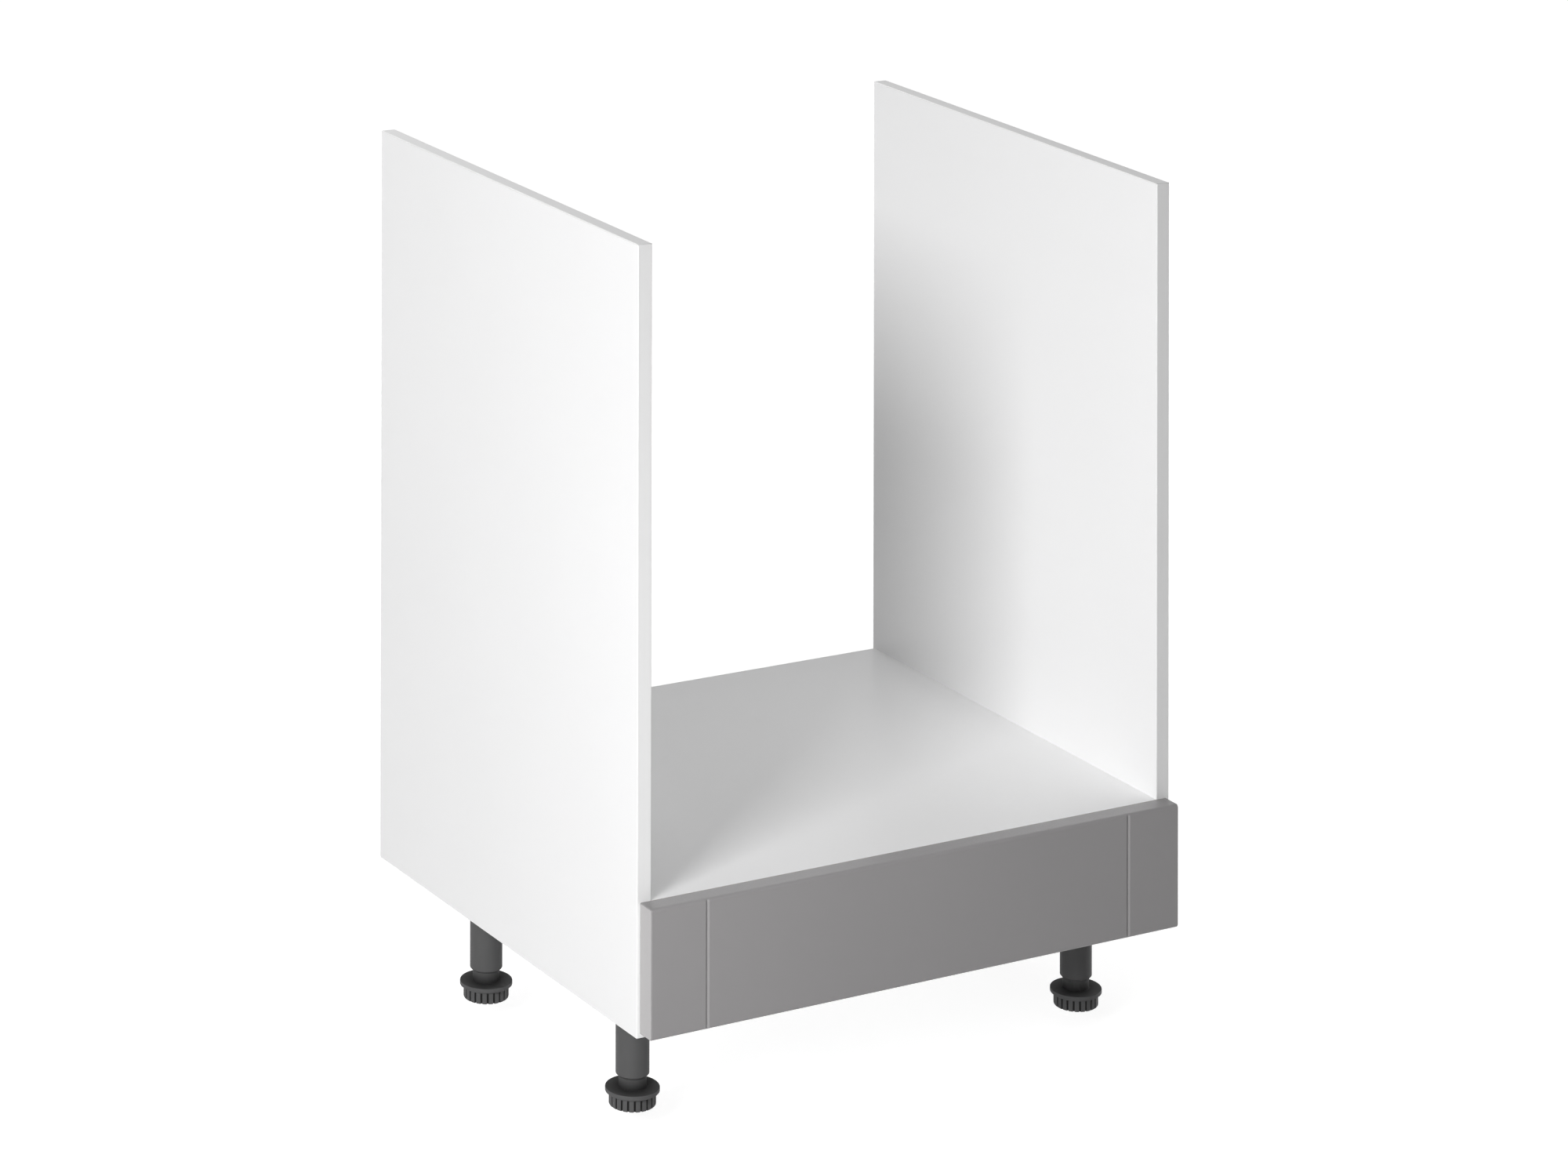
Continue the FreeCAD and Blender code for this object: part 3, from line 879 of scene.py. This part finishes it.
class CABINET_OT_levelling_feet(Operator):
    """Model the feet, each with a threaded stem, a flange and a slotted skirt"""
    bl_idname = "cabinet.levelling_feet"
    bl_label = "Levelling feet"

    def execute(self, context):
        legs = context.scene.cabinet_legs
        first = f"{LEGS[0]}_leg_foot"
        low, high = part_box(first)
        centre = middle_of(first)
        flange_radius = (high.x - low.x) / 2
        slot_top = low.z + legs.skirt_height - legs.skirt_band
        skirt_top = low.z + legs.skirt_height
        flange_top = skirt_top + legs.flange_thickness
        thread_low, thread_high = low.z + legs.thread_start, high.z - legs.thread_margin
        foot = turned(first, centre, rounded([
            (legs.recess_radius, low.z + legs.recess_depth, 0),
            (legs.recess_radius, low.z, legs.recess_round),
            (legs.skirt_radius, low.z, legs.skirt_round),
            (legs.skirt_radius, slot_top, 0),
            (legs.skirt_radius, slot_top + legs.slot_end, 0),
            (legs.skirt_radius, skirt_top, legs.skirt_root),
            (flange_radius, skirt_top, legs.flange_under),
            (flange_radius, flange_top, legs.flange_round),
            (legs.stem_radius, flange_top, legs.stem_root),
            *thread_rings(legs.stem_radius, thread_low, thread_high, legs.thread_pitch),
            (legs.stem_radius, high.z - legs.stem_point, 0),
            (legs.stem_radius - legs.stem_point, high.z, 0),
        ]), self.slot_angles(legs))
        in_slot = self.slot_test(centre, legs, slot_top)
        self.press_slots(foot, in_slot, Vector((centre.x, centre.y, low.z)), legs)
        # Painted shade: mark the slots and the flange top, which the plastic finish darkens as if shadowed.
        self.paint_shade_marks(foot, in_slot, centre, legs, flange_radius, flange_top)
        wind_thread(foot, centre, thread_low, thread_high, legs.thread_pitch, legs.thread_depth)
        smooth(foot)
        set_on_legs(foot, "foot", "_screw", "{leg}_foot")
        return {"FINISHED"}

    def slot_angles(self, legs):
        """Angles of the ring's points: two at each wall of a slot and four along each rib."""
        pitch = TURN / legs.slot_count
        half = math.asin(legs.slot_width / 2 / legs.skirt_radius)
        floor = half * SLOT_FLOOR
        rib = (pitch - 2 * half) / RIB_STEPS
        offsets = [-half, -floor, floor, half] + [half + rib * step for step in range(1, RIB_STEPS)]
        return [pitch * slot + offset for slot in range(legs.slot_count) for offset in offsets]

    def slot_test(self, centre, legs, slot_top):
        """Make a test for the skirt's points that lie between the walls of a slot."""
        pitch = TURN / legs.slot_count
        mid_wall = math.asin(legs.slot_width / 2 / legs.skirt_radius) * (1 + SLOT_FLOOR) / 2
        mid_skirt = (legs.recess_radius + legs.skirt_radius) / 2

        def in_slot(vertex):
            arm = vertex.co - centre
            offset = (math.atan2(arm.y, arm.x) + pitch / 2) % pitch - pitch / 2
            on_skirt = arm.xy.length > mid_skirt and vertex.co.z < slot_top + NEAR
            return on_skirt and abs(offset) < mid_wall

        return in_slot

    def press_slots(self, foot, in_slot, bottom, legs):
        """Draw in the points of the slots, which are open at the bottom."""
        edit(foot)
        pick(foot, "VERT", in_slot)
        ratio = 1 - legs.slot_depth / legs.skirt_radius
        bpy.ops.transform.resize(value=(ratio, ratio, 1), center_override=bottom)
        leave_edit()

    def paint_shade_marks(self, foot, in_slot, centre, legs, flange_radius, flange_top):
        """Mark painted shade on the slots, and on the top of the flange more and more towards the stem,
        where the tube and the cabinet cast shadow.
        """
        # Painted shade: each point's mark darkens the plastic there.
        shade_marks = foot.data.attributes.new("recess", "FLOAT", "POINT")
        for vertex, mark in zip(foot.data.vertices, shade_marks.data):
            inwards = (flange_radius - (vertex.co - centre).xy.length) / (flange_radius - legs.stem_radius)
            if in_slot(vertex):
                mark.value = 1
            elif abs(vertex.co.z - flange_top) < legs.flange_round and inwards > FLANGE_RIM:
                mark.value = min(1, 0.5 + 0.5 * inwards)


class CABINET_OT_board_fittings(Operator):
    """Finish the cam locks, cam bolts and dowels that join the boards"""
    bl_idname = "cabinet.board_fittings"
    bl_label = "Board fittings"

    def execute(self, context):
        zinc = zinc_finish()
        steel = steel_finish()
        beech = beech_finish()
        for shelf in ("deck", "bottom"):
            refinish(f"{shelf}_cam_locks", zinc)
            refinish(f"{shelf}_cam_bolts", steel)
            refinish(f"{shelf}_dowels", beech)
        return {"FINISHED"}


class CABINET_OT_brackets(Operator):
    """Model the angle brackets behind the front, with rounded bends and corners"""
    bl_idname = "cabinet.brackets"
    bl_label = "Brackets"

    def execute(self, context):
        sizes = context.scene.cabinet_fittings
        finish = steel_finish()
        for level in ("lower", "upper"):
            nodes = [f"front_bracket_{level}_{side}" for side in SIDES]
            left = self.bend_left(nodes[0] + "_angle", *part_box(nodes[0]), sizes)
            right = copied(left, nodes[1] + "_angle", (0, 0, 0))
            edit(right)
            bpy.ops.mesh.select_all(action="SELECT")
            bpy.ops.transform.resize(value=(-1, 1, 1), center_override=(0, 0, 0))
            bpy.ops.mesh.normals_make_consistent(inside=False)
            leave_edit()
            for bracket, node in zip((left, right), nodes):
                smooth(bracket)
                dress(bracket, finish, "plated_steel", "carcass", node)
        return {"FINISHED"}

    def bend_left(self, name, low, high, sizes):
        """Draw a block in the corner out into two legs, round them and drill them."""
        inner = low + Vector((sizes.bracket_thickness, sizes.bracket_thickness, 0))
        bracket = block(name, low, Vector((inner.x, inner.y, high.z)))
        edit(bracket)
        pick(bracket, "FACE", lambda face: face.calc_center_median().x > inner.x - NEAR)
        bpy.ops.mesh.extrude_region_move(TRANSFORM_OT_translate={"value": (high.x - inner.x, 0, 0)})
        pick(bracket, "FACE", lambda face: face.calc_center_median().y > inner.y - NEAR
             and face.calc_center_median().x < inner.x)
        bpy.ops.mesh.extrude_region_move(TRANSFORM_OT_translate={"value": (0, high.y - inner.y, 0)})
        bpy.ops.mesh.select_all(action="SELECT")
        bpy.ops.mesh.dissolve_limited()
        bend_outside = sizes.bend_round + sizes.bracket_thickness
        for corner, radius in ((inner, sizes.bend_round), (low, bend_outside)):
            pick(bracket, "EDGE", lambda edge: all(
                (end.co - corner).xy.length < NEAR for end in edge.verts))
            bevel(radius, BEND_STEPS)
        for axis in (0, 1):
            pick(bracket, "EDGE", lambda edge: all(end.co[axis] > high[axis] - NEAR for end in edge.verts)
                 and abs(edge.verts[0].co.z - edge.verts[1].co.z) < NEAR)
            bevel(sizes.bracket_round, BEND_STEPS)
        leave_edit()
        ease_edges(bracket, sizes.bracket_ease)
        corner = Vector((low.x, low.y, (low.z + high.z) / 2))
        inward, back = Vector((1, 0, 0)), Vector((0, 1, 0))
        drill(bracket, corner + back * sizes.hole_reach, inward, sizes.hole_radius)
        drill(bracket, corner + inward * sizes.hole_reach, back, sizes.hole_radius)
        return bracket


class CABINET_OT_screws(Operator):
    """Model the pan head screws of the brackets and the leg sockets"""
    bl_idname = "cabinet.screws"
    bl_label = "Screws"

    def execute(self, context):
        sizes = context.scene.cabinet_fittings
        finish = steel_finish()
        seats = []
        for level in ("lower", "upper"):
            for side, way in zip(SIDES, (1, -1)):
                low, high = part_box(f"front_bracket_{level}_{side}")
                corner = Vector((low.x if way > 0 else high.x, low.y, (low.z + high.z) / 2))
                inward, back = Vector((way, 0, 0)), Vector((0, 1, 0))
                seats.append((corner + back * sizes.hole_reach + inward * sizes.bracket_thickness, inward))
                seats.append((corner + inward * sizes.hole_reach + back * sizes.bracket_thickness, back))
        self.drive("front_bracket_screws", seats, sizes.bracket_thickness, sizes, finish)

        plate = context.scene.cabinet_legs.plate_thickness
        seats = []
        for leg in LEGS:
            node = f"{leg}_leg_socket"
            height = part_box(node)[1].z - plate
            points = socket_screw_points(node, sizes.socket_circle, height)
            seats += [(point, Vector((0, 0, -1))) for point in points]
        self.drive("leg_socket_screws", seats, plate, sizes, finish)
        return {"FINISHED"}

    def drive(self, node, seats, grip, sizes, finish):
        """Model one screw, set a copy at each seat with its head facing outward, and join them."""
        screw = self.model(node, grip, sizes)
        smooth(screw)
        driven = []
        for seat, outward in seats:
            copy = copied(screw, "driven_screw", (0, 0, 0))
            copy.rotation_euler = outward.to_track_quat("Z", "Y").to_euler()
            copy.location = seat
            driven.append(copy)
        bpy.data.objects.remove(screw)
        for copy in driven:
            copy.select_set(True)
        bpy.context.view_layer.objects.active = driven[0]
        bpy.ops.object.join()
        bpy.ops.object.transform_apply(location=True, rotation=True, scale=True)
        dress(named(driven[0], node + "_set"), finish, "plated_steel", "carcass", node)

    def model(self, name, grip, sizes):
        """One screw along +Z, with the underside of its head at the origin."""
        tip = -grip - sizes.screw_bite
        thread_low, thread_high = tip + sizes.screw_tip, -sizes.screw_neck
        middle = Vector((0, 0, 0))
        screw = turned(name, middle, rounded([
            (sizes.tip_radius, tip, 0),
            *thread_rings(sizes.screw_radius, thread_low, thread_high, sizes.screw_pitch),
            (sizes.screw_radius, 0, 0),
            (sizes.head_radius, 0, sizes.head_under),
            (sizes.head_radius, sizes.head_height, sizes.head_dome),
            (sizes.head_flat, sizes.head_height, 0),
        ]), even_angles(SCREW_POINTS))
        wind_thread(screw, middle, thread_low, thread_high, sizes.screw_pitch, sizes.screw_thread)
        for quarter in range(2):
            reach = Vector((sizes.cross_length, sizes.cross_width, 0)) / 2
            low = Vector((-reach.x, -reach.y, sizes.head_height - sizes.cross_depth))
            cross = block("cross", low, Vector((reach.x, reach.y, sizes.head_height + CUTTER_RISE)))
            edit(cross)
            pick(cross, "VERT", lambda vertex: vertex.co.z < low.z + NEAR)
            bpy.ops.transform.resize(value=CROSS_TAPER, center_override=(0, 0, low.z))
            turn_quarters(quarter, middle)
            leave_edit()
            combine(screw, cross, "DIFFERENCE")
        return screw


class CABINET_OT_stage(Operator):
    """Set up the floor, the even light, the lamps and the camera"""
    bl_idname = "cabinet.stage"
    bl_label = "Stage"

    def execute(self, context):
        stage = context.scene.cabinet_stage
        self.lay_floor(stage)
        self.light_world(context.scene, stage)
        for name, (size, place) in LAMPS.items():
            self.hang_lamp(name, getattr(stage, name), size, Vector(place))
        self.place_camera(context.scene, stage)
        context.scene.view_settings.view_transform = "Standard"
        return {"FINISHED"}

    def lay_floor(self, stage):
        bpy.ops.object.select_all(action="DESELECT")
        bpy.ops.mesh.primitive_plane_add(size=stage.floor_size, location=(0, 0, -stage.floor_drop))
        floor = named(bpy.context.object, "studio_floor")
        floor.data.materials.append(floor_finish())

    def light_world(self, scene, stage):
        """Soft light that rises from the front to the back, which the camera sees as white."""
        world = bpy.data.worlds.new("studio_light")
        world.use_nodes = True
        scene.world = world
        nodes = Nodes(world.node_tree)
        towards_back = nodes.part(nodes.add("TexCoord", output="Generated"), 1)
        strength = stage.ambient * (towards_back + 1)
        even = nodes.add("Background", {"Color": (1, 1, 1, 1), "Strength": strength})
        white = nodes.add("Background", {"Color": (1, 1, 1, 1), "Strength": 1.0})
        surface = nodes.add("MixShader", {0: nodes.seen(), 1: even, 2: white})
        nodes.add("OutputWorld", {"Surface": surface})

    def hang_lamp(self, name, watts, size, place):
        """Hang a square soft lamp that faces the middle of the cabinet."""
        data = bpy.data.lights.new(name, "AREA")
        data.shape = "SQUARE"
        data.size = size
        data.energy = watts
        lamp = bpy.data.objects.new(name, data)
        bpy.context.scene.collection.objects.link(lamp)
        lamp.location = place
        lamp.rotation_euler = (Vector(LAMP_TARGET) - place).to_track_quat("-Z", "Y").to_euler()

    def place_camera(self, scene, stage):
        """Aim a camera whose film leans against the view, so that upright edges stay upright."""
        data = bpy.data.cameras.new("view")
        data.sensor_width = 36
        data.lens = stage.camera_lens
        data.clip_end = 200
        camera = bpy.data.objects.new("view", data)
        stand = bpy.data.objects.new("camera_stand", None)
        scene.collection.objects.link(stand)
        scene.collection.objects.link(camera)
        camera.parent = stand
        columns = (stage.camera_across, stage.camera_up, -Vector(stage.camera_ahead), stage.camera_place)
        camera.matrix_parent_inverse = Matrix(
            [[column[row] for column in columns] for row in range(3)] + [[0, 0, 0, 1]])
        scene.camera = camera


STEPS = (
    CABINET_OT_side_boards,
    CABINET_OT_edging_strips,
    CABINET_OT_shelf_boards,
    CABINET_OT_grey_front,
    CABINET_OT_leg_sockets,
    CABINET_OT_leg_tubes,
    CABINET_OT_levelling_feet,
    CABINET_OT_board_fittings,
    CABINET_OT_brackets,
    CABINET_OT_screws,
    CABINET_OT_stage,
)


GROUPS = {
    "cabinet_boards": BoardSettings,
    "cabinet_legs": LegSettings,
    "cabinet_fittings": FittingSettings,
    "cabinet_colours": ColourSettings,
    "cabinet_stage": StageSettings,
}


class CABINET_PT_pieces(Panel):
    """Lists the steps that make the cabinet and the sizes and colours that they use"""
    bl_idname = "CABINET_PT_pieces"
    bl_label = "Oven base cabinet"
    bl_space_type = "VIEW_3D"
    bl_region_type = "UI"
    bl_category = "Cabinet"

    def draw(self, context):
        for step in STEPS:
            self.layout.operator(step.bl_idname)
        for group, settings in GROUPS.items():
            box = self.layout.box()
            for name in settings.__annotations__:
                box.prop(getattr(context.scene, group), name)


def register():
    for name, group in GROUPS.items():
        bpy.utils.register_class(group)
        setattr(bpy.types.Scene, name, PointerProperty(type=group))
    for step in STEPS:
        bpy.utils.register_class(step)
    bpy.utils.register_class(CABINET_PT_pieces)


def unregister():
    bpy.utils.unregister_class(CABINET_PT_pieces)
    for step in reversed(STEPS):
        bpy.utils.unregister_class(step)
    for name, group in GROUPS.items():
        delattr(bpy.types.Scene, name)
        bpy.utils.unregister_class(group)


def main():
    register()
    for step in STEPS:
        category, operator = step.bl_idname.split(".")
        getattr(getattr(bpy.ops, category), operator)()


if __name__ == "__main__":
    main()
